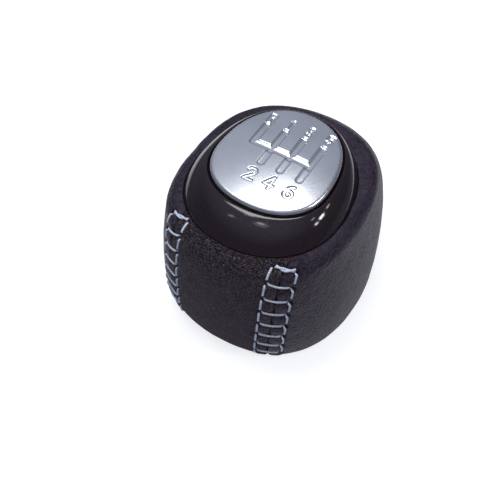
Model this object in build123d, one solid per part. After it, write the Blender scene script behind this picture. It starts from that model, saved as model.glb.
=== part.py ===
from build123d import *
import os
from math import atan2, cos, pi, radians, sin

# Gear shift knob. The lever axis is Z, the knob stands on z = 0 and the driver sits towards -Y.

# Heights of the main levels
BASE_LIFT = 0.4
LOW_LEVEL = 10.0
BELLY_LEVEL = 21.5
SHOULDER_LEVEL = 31.5
BODY_TOP = 39.6
RING_RIM = 45.6
DOME_APEX = 47.9

# Egg-shaped grip: half width, reach to the front and reach to the rear at each level
BASE_HALF_WIDTH = 28.7
BASE_FRONT = 29.3
BASE_REAR = 29.6
LOW_HALF_WIDTH = 29.0
LOW_FRONT = 33.8
LOW_REAR = 31.6
BELLY_HALF_WIDTH = 28.1
BELLY_FRONT = 37.0
BELLY_REAR = 31.8
SHOULDER_HALF_WIDTH = 26.9
SHOULDER_FRONT = 35.8
SHOULDER_REAR = 30.7
BODY_FULLNESS = 0.655
CROWN_ROUND = 4.0
BASE_ROUND = 2.2

# Domed metal plate
PLATE_HALF_WIDTH = 16.8
PLATE_FRONT = 21.7
PLATE_REAR = 14.2
PLATE_FULLNESS = 0.615
PLATE_THICKNESS = 1.0
PLATE_ROUND = 1.0
PLATE_GAP = 0.6
DOME_RADIUS = 130.0
DOME_CENTRE_Y = 3.5
PAD_THICKNESS = 0.6
PAD_MARGIN = 2.0
PAD_FILM = 0.03

# Gate pattern sunk into the plate
GATE_COLUMN_PITCH = 5.8
GATE_TOP_Y = 11.8
GATE_NEUTRAL_Y = 4.6
GATE_BOTTOM_Y = -0.9
GATE_WIDTH = 2.1
GATE_DEPTH = 0.45

# Gloss ring round the plate
RING_BAND_SIDE = 5.6
RING_BAND_FRONT = 3.2
RING_BAND_REAR = 9.4
RING_WIDEST_Y = -1.8
RING_FULLNESS = 0.6
RING_LAND = 0.5
RING_FOOT_ANGLE = 40.0
RING_RIM_ANGLE = 68.0
RING_WALL = 2.6
RING_FLOOR = 1.6
RING_POCKET = 1.8
RING_CURVE_STEPS = 4
LEG_COUNT = 4
LEG_FIRST_ANGLE = 45.0
LEG_RADIUS = 15.2
LEG_WIDTH = 5.0
LEG_THICKNESS = 1.8
LEG_HOOK = 0.8
LEG_HOOK_HEIGHT = 2.4

# Leather and suede skin
SKIN = 1.3
LEDGE = 4.0
LEDGE_REAR = 3.7
SEAM_X = 15.8
SEAM_GAP = 0.2

# Laced seams
THREAD = 0.7
ROD_SIDES = 6
STRIP_HALF = 3.3
STITCH_PITCH = 5.4
SEAM_DROP = 0.05
TOP_BAR_LEAD = 0.3
TOP_BAR_SLANT = 3.2
TAIL_BAR_SLANT = 0.6
BAR_END = 0.03
TAIL_HEIGHT = 1.6
BAR_SINK = 0.4
BAR_CHANNEL = 2.0
BAR_CLEARANCE = 0.16
STITCH_CLEARANCE = 0.05

# Moulded core, with its edges broken by a share of the roll outside them
EDGE_SHARE = 0.5
CORE_WALL = 3.0
CORE_DECK = 3.0
BOSS_WALL = 3.0
RIB = 1.8
RIB_COUNT = 4

# Metal sleeve on the lever
LEVER_DIAMETER = 12.0
LEVER_DEPTH = 30.0
SLEEVE_WALL = 2.0
SLEEVE_END = 2.0
SLEEVE_FLANGE = 2.0
SLEEVE_FLANGE_THICKNESS = 1.2

# Base plate and its screws
HEM_WIDTH = 6.0
SCREW_COUNT = 2
SCREW_FIRST_ANGLE = 90.0
SCREW_RADIUS = 16.0
SCREW_DIAMETER = 2.6
SCREW_LENGTH = 9.0
SCREW_HEAD_DIAMETER = 5.0
SCREW_RECESS = 0.2
SCREW_BOSS_DIAMETER = 6.4

# Fits
FIT = 0.1
SLIP = 0.25

# Steps of the search along the skin for the seams
TRACK_STEPS = 24
HALVINGS = 30
ANGLE_MARGIN = 0.2

# Sizes that follow from those above
DECK_TOP = BODY_TOP - SKIN
DECK_UNDER = DECK_TOP - CORE_DECK
COVER_TOP = BASE_LIFT + SKIN
RING_HALF_WIDTH = PLATE_HALF_WIDTH + RING_BAND_SIDE
RING_FRONT = PLATE_FRONT + RING_BAND_FRONT
RING_REAR = PLATE_REAR + RING_BAND_REAR
POCKET_FLOOR = RING_RIM - RING_POCKET
HOLLOW_TOP = POCKET_FLOOR - RING_FLOOR
SLEEVE_RADIUS = LEVER_DIAMETER / 2 + SLEEVE_WALL
FLANGE_RADIUS = SLEEVE_RADIUS + SLEEVE_FLANGE
SLEEVE_TOP = LEVER_DEPTH + SLEEVE_END
BOSS_RADIUS = FLANGE_RADIUS + BOSS_WALL
THREAD_RADIUS = THREAD / 2
STATIONS = (
    (BASE_LIFT, BASE_HALF_WIDTH, BASE_FRONT, BASE_REAR),
    (LOW_LEVEL, LOW_HALF_WIDTH, LOW_FRONT, LOW_REAR),
    (BELLY_LEVEL, BELLY_HALF_WIDTH, BELLY_FRONT, BELLY_REAR),
    (SHOULDER_LEVEL, SHOULDER_HALF_WIDTH, SHOULDER_FRONT, SHOULDER_REAR),
    (BODY_TOP, RING_HALF_WIDTH + LEDGE, RING_FRONT + LEDGE, RING_REAR + LEDGE_REAR),
)
UPRIGHT = (Align.CENTER, Align.CENTER, Align.MIN)
FROM_AXIS = (Align.MIN, Align.CENTER, Align.MIN)
BEHIND_AXIS = (Align.CENTER, Align.MAX, Align.CENTER)


# Basic forms

def quarter(side, tip, fullness):
    """Control points of a quarter of an egg, from its widest point to its tip."""
    corner = Vector(side.X, tip.Y)
    return [side, side + (corner - side) * fullness, tip + (corner - tip) * fullness, tip]


def egg(half_width, front, rear, widest_y, fullness):
    """Egg-shaped face on the base plane, made of four smooth quarters."""
    right = Vector(half_width, widest_y)
    left = Vector(-half_width, widest_y)
    nose = Vector(0, front)
    tail = Vector(0, -rear)
    edges = [
        Bezier(*quarter(right, nose, fullness)),
        Bezier(*reversed(quarter(left, nose, fullness))),
        Bezier(*quarter(left, tail, fullness)),
        Bezier(*reversed(quarter(right, tail, fullness))),
    ]
    return Face(Wire(edges))


def prism(face, bottom, top):
    """Upright solid over a face of the base plane."""
    return extrude(Pos(0, 0, bottom) * face, amount=top - bottom, dir=(0, 0, 1))


def pillar(radius, bottom, top):
    """Upright cylinder on the lever axis."""
    return Pos(0, 0, bottom) * Cylinder(radius, top - bottom, align=UPRIGHT)


def round_places(count, radius, first_angle):
    """Places evenly spaced about the lever axis, turned to face it."""
    return [Rot(0, 0, first_angle + 360 / count * i) * Pos(radius, 0, 0) for i in range(count)]


# Outlines shared by the pieces that fit together

def plate_outline(grow):
    """Outline of the metal plate, grown all round."""
    return egg(PLATE_HALF_WIDTH + grow, PLATE_FRONT + grow, PLATE_REAR + grow, 0, PLATE_FULLNESS)


def ring_outline(grow):
    """Outline of the ring's lower edge, grown all round."""
    return egg(RING_HALF_WIDTH + grow, RING_FRONT + grow, RING_REAR + grow, RING_WIDEST_Y, RING_FULLNESS)


def base_outline(grow):
    """Outline of the base plate, grown all round."""
    inset = HEM_WIDTH - grow
    return egg(BASE_HALF_WIDTH - inset, BASE_FRONT - inset, BASE_REAR - inset, 0, BODY_FULLNESS)


def grip_loft(inset):
    """The grip's body before its edges are broken, set in all round."""
    last = len(STATIONS) - 1
    rises = {0: inset, last: -inset}
    sections = []
    for index, (height, half_width, front, rear) in enumerate(STATIONS):
        face = egg(half_width - inset, front - inset, rear - inset, 0, BODY_FULLNESS)
        sections.append(Pos(0, 0, height + rises.get(index, 0)) * face)
    return loft(sections)


def outer_form():
    """Outer form of the leather, with rolled edges at the ring and the base."""
    form = grip_loft(0)
    form = fillet(form.edges().group_by(Axis.Z)[-1], CROWN_ROUND)
    return fillet(form.edges().group_by(Axis.Z)[0], BASE_ROUND)


def core_form():
    """Outer form of the core under the leather, with its edges broken to pass inside the rolls."""
    form = grip_loft(SKIN)
    form = chamfer(form.edges().group_by(Axis.Z)[-1], CROWN_ROUND * EDGE_SHARE)
    return chamfer(form.edges().group_by(Axis.Z)[0], BASE_ROUND * EDGE_SHARE)


# Plate

def dome(depth):
    """Ball whose top is the plate's dome, set in by a depth, with its poles to the front and rear."""
    centre = Pos(0, DOME_CENTRE_Y, DOME_APEX - DOME_RADIUS)
    return centre * Rot(90, 0, 0) * Sphere(DOME_RADIUS - depth)


def gate_slot(start, end):
    """Round-ended slot between two points of the gate pattern."""
    run = end - start
    turn = Vector(1, 0).get_signed_angle(run)
    return Pos((start + end) / 2) * SlotCenterToCenter(run.length, GATE_WIDTH, rotation=turn)


def gate_pattern():
    """Six-speed pattern: three full columns, the reverse column and the neutral row."""
    columns = [GATE_COLUMN_PITCH * step for step in (-1.5, -0.5, 0.5, 1.5)]
    lows = [GATE_NEUTRAL_Y] + [GATE_BOTTOM_Y] * (len(columns) - 1)
    pattern = gate_slot(Vector(columns[0], GATE_NEUTRAL_Y), Vector(columns[-1], GATE_NEUTRAL_Y))
    for x, low in zip(columns, lows):
        pattern += gate_slot(Vector(x, low), Vector(x, GATE_TOP_Y))
    return pattern


def shift_plate():
    """Domed cap with a rolled rim, a skirt and the sunk gate pattern."""
    cap = prism(plate_outline(0), POCKET_FLOOR, DOME_APEX) & dome(0)
    top = cap.faces().sort_by(Axis.Z)[-1]
    cap = fillet(top.edges(), PLATE_ROUND)
    cap -= prism(plate_outline(-PLATE_THICKNESS), POCKET_FLOOR, DOME_APEX) & dome(PLATE_THICKNESS)
    return cap - (prism(gate_pattern(), POCKET_FLOOR, DOME_APEX) - dome(GATE_DEPTH))


def plate_adhesive_pad():
    """Thin bonding pad between the plate and the ring's pedestal."""
    blank = prism(plate_outline(-PLATE_THICKNESS - PAD_MARGIN), POCKET_FLOOR, DOME_APEX)
    upper = dome(PLATE_THICKNESS + PAD_FILM)
    lower = dome(PLATE_THICKNESS + PAD_THICKNESS - PAD_FILM)
    return (blank & upper) - lower


# Ring

def ring_section(turn):
    """One level of the ring's round flank, at an angle between those at its foot and its rim."""
    foot, here, rim = (radians(angle) for angle in (RING_FOOT_ANGLE, turn, RING_RIM_ANGLE))
    inward = (cos(foot) - cos(here)) / (cos(foot) - cos(rim))
    rise = (sin(here) - sin(foot)) / (sin(rim) - sin(foot))
    rim_grow = PLATE_GAP + RING_LAND
    half_width = RING_HALF_WIDTH + (PLATE_HALF_WIDTH + rim_grow - RING_HALF_WIDTH) * inward
    front = RING_FRONT + (PLATE_FRONT + rim_grow - RING_FRONT) * inward
    rear = RING_REAR + (PLATE_REAR + rim_grow - RING_REAR) * inward
    widest_y = RING_WIDEST_Y * (1 - inward)
    fullness = RING_FULLNESS + (PLATE_FULLNESS - RING_FULLNESS) * inward
    height = BODY_TOP + (RING_RIM - BODY_TOP) * rise
    return Pos(0, 0, height) * egg(half_width, front, rear, widest_y, fullness)


def leg_places():
    """Places of the ring's snap legs."""
    return round_places(LEG_COUNT, LEG_RADIUS, LEG_FIRST_ANGLE)


def snap_leg():
    """Leg through the core's deck, with a hook under it that points away from the lever axis."""
    hook_top = DECK_UNDER - FIT
    tip = hook_top - LEG_HOOK_HEIGHT
    half = LEG_THICKNESS / 2
    profile = Polyline(
        (-half, HOLLOW_TOP),
        (half, HOLLOW_TOP),
        (half, hook_top),
        (half + LEG_HOOK, hook_top),
        (half, tip),
        (-half, tip),
        close=True,
    )
    return extrude(Plane.XZ * make_face(profile), amount=LEG_WIDTH / 2, both=True)


def trim_ring():
    """Gloss ring with a pocket and a domed pedestal for the plate, on snap legs."""
    step = (RING_RIM_ANGLE - RING_FOOT_ANGLE) / RING_CURVE_STEPS
    ring = loft([ring_section(RING_FOOT_ANGLE + step * index) for index in range(RING_CURVE_STEPS + 1)])
    ring += prism(ring_outline(0), DECK_TOP, BODY_TOP)
    pedestal = prism(plate_outline(-PLATE_THICKNESS - FIT), POCKET_FLOOR, DOME_APEX)
    pedestal &= dome(PLATE_THICKNESS + PAD_THICKNESS)
    ring -= prism(plate_outline(PLATE_GAP), POCKET_FLOOR, DOME_APEX)
    ring += pedestal
    ring -= prism(ring_outline(-RING_WALL), DECK_TOP, HOLLOW_TOP)
    for place in leg_places():
        ring += place * snap_leg()
    return ring


# Core

def screw_places():
    """Places of the base screws."""
    return round_places(SCREW_COUNT, SCREW_RADIUS, SCREW_FIRST_ANGLE)


def grip_core(form):
    """Moulded core: outer wall, deck, ribs, screw bosses and the boss for the sleeve."""
    kept = pillar(BOSS_RADIUS, COVER_TOP, DECK_UNDER)
    rib = Pos(0, 0, COVER_TOP) * Box(BASE_FRONT, RIB, DECK_UNDER - COVER_TOP, align=FROM_AXIS)
    for step in range(RIB_COUNT):
        kept += Rot(0, 0, 360 / RIB_COUNT * step) * rib
    for place in screw_places():
        kept += place * pillar(SCREW_BOSS_DIAMETER / 2, COVER_TOP, DECK_UNDER)
    core = form - (prism(base_outline(-CORE_WALL), COVER_TOP, DECK_UNDER) - kept)
    slot = Box(LEG_THICKNESS + 2 * SLIP, LEG_WIDTH + 2 * SLIP, CORE_DECK, align=UPRIGHT)
    for place in leg_places():
        core -= place * Pos(0, 0, DECK_UNDER) * slot
    for place in screw_places():
        core -= place * screw_body(FIT)
    return core - sleeve_body(FIT)


# Lever sleeve, base plate and screws

def sleeve_body(grow):
    """Outer form of the lever sleeve with its flange, grown for the socket that takes it."""
    flange_top = COVER_TOP + SLEEVE_FLANGE_THICKNESS + grow
    body = pillar(SLEEVE_RADIUS + grow, 0, SLEEVE_TOP + grow)
    return body + pillar(FLANGE_RADIUS + grow, COVER_TOP, flange_top)


def lever_sleeve():
    """Turned sleeve with a blind bore for the gear lever."""
    return sleeve_body(0) - pillar(LEVER_DIAMETER / 2, 0, LEVER_DEPTH)


def screw_body(grow):
    """Countersunk screw, head down, grown for the hole that takes it."""
    bottom = SCREW_RECESS - grow
    head = SCREW_HEAD_DIAMETER / 2 + grow
    shank = SCREW_DIAMETER / 2 + grow
    cone = Pos(0, 0, bottom) * Cone(head, shank, head - shank, align=UPRIGHT)
    return cone + pillar(shank, bottom, SCREW_RECESS + SCREW_LENGTH + grow)


def base_screws():
    """The screws of the base plate."""
    return Compound([place * screw_body(0) for place in screw_places()])


def base_plate():
    """Cover that closes the underside inside the leather's hem."""
    plate = prism(base_outline(0), 0, COVER_TOP)
    plate -= pillar(SLEEVE_RADIUS + FIT, 0, COVER_TOP)
    for place in screw_places():
        plate -= place * screw_body(SCREW_RECESS)
    return plate


# Leather and suede

def skin_wrap(outer, form):
    """The whole skin: the outer form less the core, open round the ring and the base plate."""
    wrap = outer - form
    wrap -= prism(ring_outline(FIT), DECK_TOP, RING_RIM)
    return wrap - prism(base_outline(FIT), 0, COVER_TOP)


def rear_block(half_width):
    """Block behind the lever axis that holds the suede panel's share of the skin."""
    return Box(2 * half_width, 2 * BELLY_REAR, 2 * RING_RIM, align=BEHIND_AXIS)


# Laced seams

def cast(skin, x, angle):
    """Point and outward normal of the skin at x, seen at an angle from the grip's middle height."""
    start = Vector(x, 0, BODY_TOP / 2)
    toward = Vector(0, -cos(angle), sin(angle))
    hits = skin.find_intersection_points(Axis(start, toward))
    point, normal = max(hits, key=lambda hit: (hit[0] - start).dot(toward))
    return point, normal if normal.dot(toward) > 0 else -normal


def angle_at(skin, x, height):
    """Angle at which the skin at x has the given height, by halving."""
    low, high = -pi / 2 + ANGLE_MARGIN, pi / 2 - ANGLE_MARGIN
    for _ in range(HALVINGS):
        middle = (low + high) / 2
        if cast(skin, x, middle)[0].Z < height:
            low = middle
        else:
            high = middle
    return high


def seam_track(skin, x):
    """Line on the skin at x, from the ledge under the ring down to the base."""
    first = angle_at(skin, x, BODY_TOP - SEAM_DROP)
    last = angle_at(skin, x, TAIL_HEIGHT)
    angles = [first + (last - first) * step / TRACK_STEPS for step in range(TRACK_STEPS + 1)]
    return Spline(*[cast(skin, x, angle)[0] for angle in angles])


def on_skin(skin, track, distance):
    """Point and outward normal of the skin a distance along a track."""
    near = track.position_at(distance, position_mode=PositionMode.LENGTH)
    return cast(skin, near.X, atan2(near.Z - BODY_TOP / 2, -near.Y))


def skin_rod(skin, places, lift, radius, short=0):
    """Rod over the skin through three (track, distance) places, cut short by a share at each end."""
    spots = [on_skin(skin, track, distance) for track, distance in places]
    path = ThreePointArc(*[point + normal * lift for point, normal in spots]).trim(short, 1 - short)
    start = Plane(origin=path @ 0, x_dir=spots[0][1], z_dir=path % 0)
    return sweep(start * RegularPolygon(radius, ROD_SIDES), path=path)


def bar_rows(tracks):
    """Places of each cross bar on the suede, seam and leather tracks, where it lies lower and lower."""
    middle = tracks[1].length
    count = int(middle / STITCH_PITCH) + 1
    rows = []
    for index in range(count):
        slant = TOP_BAR_SLANT + (TAIL_BAR_SLANT - TOP_BAR_SLANT) * index / (count - 1)
        row = []
        for share, track in enumerate(tracks):
            drop = TOP_BAR_LEAD + index * STITCH_PITCH + slant * share / (len(tracks) - 1)
            row.append((track, drop * track.length / middle))
        rows.append(row)
    return rows


def rail_stitches(skin, places):
    """Stitches along one track, one between each two places that bars or the tail mark."""
    gap = THREAD + STITCH_CLEARANCE
    lift = THREAD_RADIUS + STITCH_CLEARANCE
    stitches = []
    for (track, start), (_, end) in zip(places[:-1], places[1:]):
        first, last = start + gap, end - gap
        if last - first > THREAD:
            run = [(track, first), (track, (first + last) / 2), (track, last)]
            stitches.append(skin_rod(skin, run, lift, THREAD_RADIUS))
    return stitches


class Seam:
    """The laced seam on the right: its bars, its rails and the channels that the bars lie in."""

    def __init__(self, skin):
        tracks = [seam_track(skin, SEAM_X + offset) for offset in (-STRIP_HALF, 0, STRIP_HALF)]
        rows = bar_rows(tracks)
        tails = [(track, track.length) for track in tracks]
        bar_lift = THREAD_RADIUS + BAR_CLEARANCE - BAR_SINK
        channel = BAR_CHANNEL / 2
        self.bars = [skin_rod(skin, row, bar_lift, THREAD_RADIUS, BAR_END) for row in rows]
        self.channels = [skin_rod(skin, row, channel - BAR_SINK, channel) for row in rows]
        self.suede_rail = rail_stitches(skin, [row[0] for row in rows] + [tails[0]])
        self.leather_rail = rail_stitches(skin, [row[2] for row in rows] + [tails[2]])


def left_of(solids):
    """Mirror images on the left of solids on the right."""
    return [mirror(solid, about=Plane.YZ) for solid in solids]


def knob():
    """All pieces of the knob by name."""
    outer = outer_form()
    form = core_form()
    seam = Seam(outer.shell())
    wrap = skin_wrap(outer, form)
    for channel in seam.channels + left_of(seam.channels):
        wrap -= channel
    nodes = {
        "shift_plate": shift_plate(),
        "plate_adhesive_pad": plate_adhesive_pad(),
        "trim_ring": trim_ring(),
        "grip_core": grip_core(form),
        "leather_wrap": wrap - rear_block(SEAM_X + SEAM_GAP / 2),
        "suede_panel": wrap & rear_block(SEAM_X - SEAM_GAP / 2),
        "lever_sleeve": lever_sleeve(),
        "base_plate": base_plate(),
        "base_screws": base_screws(),
    }
    threads = {
        "seam_suede_stitches": seam.suede_rail,
        "seam_leather_stitches": seam.leather_rail,
        "seam_lacing": seam.bars,
    }
    for name, solids in threads.items():
        nodes[f"right_{name}"] = Compound(solids)
        nodes[f"left_{name}"] = Compound(left_of(solids))
    return nodes


os.makedirs("parts", exist_ok=True)
for node, shape in knob().items():
    export_step(shape, f"parts/{node}.step")
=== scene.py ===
"""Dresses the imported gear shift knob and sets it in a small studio.

Sizes in the classes are millimetres in the part's own frame: +Z runs up the lever, +Y points to the front
of the car and the suede panel faces -Y. Meshes are written in metres.
"""

import logging
import math
from dataclasses import dataclass, field, replace
from enum import Enum
from typing import Any, Callable, Iterable

import bmesh
import bpy
import numpy as np
from bmesh.types import BMEdge, BMesh, BMVert
from bpy.types import ID, Material, Node, NodeSocket, NodeTree, Object
from mathutils import Matrix, Vector


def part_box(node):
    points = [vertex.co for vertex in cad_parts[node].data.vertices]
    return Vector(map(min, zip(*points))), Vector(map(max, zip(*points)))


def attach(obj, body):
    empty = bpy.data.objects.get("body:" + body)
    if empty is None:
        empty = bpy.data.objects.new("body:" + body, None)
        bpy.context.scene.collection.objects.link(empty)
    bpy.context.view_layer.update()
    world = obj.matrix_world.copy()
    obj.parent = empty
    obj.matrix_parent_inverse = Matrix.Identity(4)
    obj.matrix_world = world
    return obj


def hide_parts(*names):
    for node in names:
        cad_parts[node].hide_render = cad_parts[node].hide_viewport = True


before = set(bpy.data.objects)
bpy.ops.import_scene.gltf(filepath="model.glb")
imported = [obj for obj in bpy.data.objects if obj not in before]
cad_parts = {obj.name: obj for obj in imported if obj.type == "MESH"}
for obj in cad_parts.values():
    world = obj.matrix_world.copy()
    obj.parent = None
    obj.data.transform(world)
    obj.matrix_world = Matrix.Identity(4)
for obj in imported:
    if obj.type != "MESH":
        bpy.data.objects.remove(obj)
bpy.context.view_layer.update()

BODY = "root"
LAY = "distances"
MM = 0.001
TINY = 1e-9
WELD = 1e-7
LOG = logging.getLogger("knob")

# Inputs that are set two at a time: the ranges of a map range node, the two sides of a mix node
FROM = ("From Min", "From Max")
TO = ("To Min", "To Max")
MIX_LEVELS = (2, 3)
MIX_COLOURS = (6, 7)

Array = np.ndarray
Span = Array | float
Pair = tuple[float, float]
Triple = tuple[float, float, float]
Inputs = dict[str | int | tuple[str | int, ...], Any]
Level = Node | NodeSocket
Grain = tuple[Node, Level | None, Inputs]


# Shared helpers


def linear(colour: str) -> tuple[float, float, float, float]:
    """Turns an sRGB hex colour into linear light.

    Args:
        colour: Six hex digits after a hash sign.

    Returns:
        Red, green, blue and a full alpha.
    """
    shares = [int(colour[i:i + 2], 16) / 255 for i in (1, 3, 5)]
    light = [s / 12.92 if s <= 0.04045 else ((s + 0.055) / 1.055) ** 2.4 for s in shares]
    return (light[0], light[1], light[2], 1.0)


def add_node(
    tree: NodeTree,
    kind: str,
    links: Inputs | None = None,
    ramp: Iterable[tuple[float, str]] = (),
    **settings: Any,
) -> Node:
    """Adds a shader node with its settings and links.

    Args:
        tree: Node tree that takes the node.
        kind: Blender's name of the node's type.
        links: Nodes, sockets or plain values by the name or number of the input they go to; several
            names in one take as many values. A node stands for its first output in use.
        ramp: Positions and hex colours of a colour ramp's two stops.
        settings: The node's own attributes.

    Returns:
        The new node.
    """
    made = tree.nodes.new(kind)
    for name, value in settings.items():
        setattr(made, name, value)
    for names, values in (links or {}).items():
        for name, value in zip(names, values) if isinstance(names, tuple) else [(names, values)]:
            if isinstance(value, Node):
                value = next(output for output in value.outputs if output.enabled)
            if isinstance(value, NodeSocket):
                tree.links.new(value, made.inputs[name])
            else:
                made.inputs[name].default_value = value
    for index, (position, colour) in enumerate(ramp):
        stop = made.color_ramp.elements[index]
        stop.position, stop.color = position, linear(colour)
    return made


def smooth_step(low: float, high: float, value: Array) -> Array:
    """Eases from 0 below the low value to 1 above the high one."""
    share = np.clip((value - low) / (high - low), 0.0, 1.0)
    return share * share * (3.0 - 2.0 * share)


def bell(value: Array, width: float) -> Array:
    """Bell curve of height 1 about zero."""
    return np.exp(-np.square(value / width))


def unit(vectors: Array) -> Array:
    """Vectors of length 1 in the same directions."""
    return vectors / np.maximum(np.linalg.norm(vectors, axis=-1, keepdims=True), TINY)


def angle_between(first: Array, second: Array) -> Array:
    """Angles between unit vectors."""
    return np.arccos(np.clip(np.sum(first * second, axis=-1, keepdims=True), -1, 1))


def sheet_normals(sheet: Array) -> Array:
    """Outward unit normals of points by row (from the ring down) and column (anticlockwise from above)."""
    return unit(np.cross(np.gradient(sheet, axis=0), np.gradient(sheet, axis=1)))


def lengths_down(sheet: Array) -> Array:
    """Distances of a sheet's points down its columns."""
    steps = np.linalg.norm(np.diff(sheet, axis=0), axis=2)
    return np.vstack([np.zeros(sheet.shape[1]), np.cumsum(steps, axis=0)])


def new_verts(grown: dict[str, Any]) -> list[BMVert]:
    """The points that an extrusion has made."""
    return [item for item in grown["geom"] if isinstance(item, BMVert)]


def new_piece(name: str, mesh: BMesh, finish: Material, node: str) -> Object:
    """Turns a finished bmesh into a piece that rides on the knob.

    Args:
        name: The piece's name.
        mesh: Its geometry, freed here.
        finish: Its material.
        node: The CAD node that it stands for.

    Returns:
        The linked object, shaded smooth.
    """
    data = bpy.data.meshes.new(name)
    mesh.to_mesh(data)
    mesh.free()
    data.shade_smooth()
    piece = bpy.data.objects.new(name, data)
    bpy.context.scene.collection.objects.link(piece)
    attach(piece, BODY)
    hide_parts(node)
    data.materials.append(finish)
    LOG.info("%s: %d faces", name, len(data.polygons))
    return piece


def bent_grid(sheet: Array, closed: bool = False) -> BMesh:
    """Bends a flat grid of faces over rows and columns of points.

    Args:
        sheet: Points in millimetres by row (from the ring down) and column (anticlockwise from above).
        closed: Whether the first and the last column are the same points.

    Returns:
        A bmesh in metres with outward faces; its map holds distances round the body and down from the ring.
    """
    rows, columns = sheet.shape[:2]
    round_steps = np.linalg.norm(np.diff(sheet[rows // 2], axis=0), axis=1)
    around = np.append(0.0, np.cumsum(round_steps)) * MM
    down = lengths_down(sheet) * MM
    mesh = bmesh.new()
    bmesh.ops.create_grid(mesh, x_segments=columns - 1, y_segments=rows - 1, size=1.0)
    spots = {}
    for vert in mesh.verts:
        column = round((vert.co.x + 1) / 2 * (columns - 1))
        row = round((1 - vert.co.y) / 2 * (rows - 1))
        spots[vert] = (around[column], down[row, column])
        vert.co = Vector(sheet[row, column]) * MM
    layer = mesh.loops.layers.uv.new(LAY)
    for face in mesh.faces:
        for loop in face.loops:
            loop[layer].uv = spots[loop.vert]
    if closed:
        bmesh.ops.remove_doubles(mesh, verts=mesh.verts, dist=WELD)
    return mesh


# Outlines and the grip's form


@dataclass(frozen=True)
class Egg:
    """Egg-shaped outline of four smooth quarters.

    A turn round it counts quarters: 0 is the right side, 1 the front, 2 the left side and 3 the rear.
    """

    half_width: Span
    front: Span
    rear: Span
    widest_y: float
    fullness: float

    def grown(self, amount: float) -> "Egg":
        """The outline grown all round."""
        reaches = {name: getattr(self, name) + amount for name in ("half_width", "front", "rear")}
        return replace(self, **reaches)

    def at(self, turn: Array) -> tuple[Array, Array]:
        """Points of the outline.

        Args:
            turn: Turns round the outline, in quarters.

        Returns:
            The points' x and y.
        """
        whole = np.mod(turn, 4.0)
        index = np.floor(whole).astype(int)
        share = np.where(index % 2 == 1, 1.0 - (whole - index), whole - index)
        rest = 1.0 - share
        side = np.where((index == 0) | (index == 3), 1.0, -1.0)
        reach = np.where(index < 2, self.front - self.widest_y, -self.rear - self.widest_y)
        across = rest**3 + 3 * rest**2 * share + 3 * rest * share**2 * self.fullness
        along = 3 * rest**2 * share * self.fullness + 3 * rest * share**2 + share**3
        return side * self.half_width * across, self.widest_y + reach * along


PLATE_LOW, PLATE_HIGH = (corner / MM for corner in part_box("shift_plate"))
RING_LOW, RING_HIGH = (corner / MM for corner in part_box("trim_ring"))
PLATE_OUTLINE = Egg(PLATE_HIGH.x, PLATE_HIGH.y, -PLATE_LOW.y, 0.0, 0.615)
RING_OUTLINE = Egg(RING_HIGH.x, RING_HIGH.y, -RING_LOW.y, -1.8, 0.6)


class Stretch(Enum):
    """Stretches of the grip's profile, from the ring down to the hem under the base."""

    TUCK = 0
    EDGE = 1
    LEDGE = 2
    CROWN = 3
    SIDE = 4
    FOOT = 5
    HEM = 6


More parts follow.
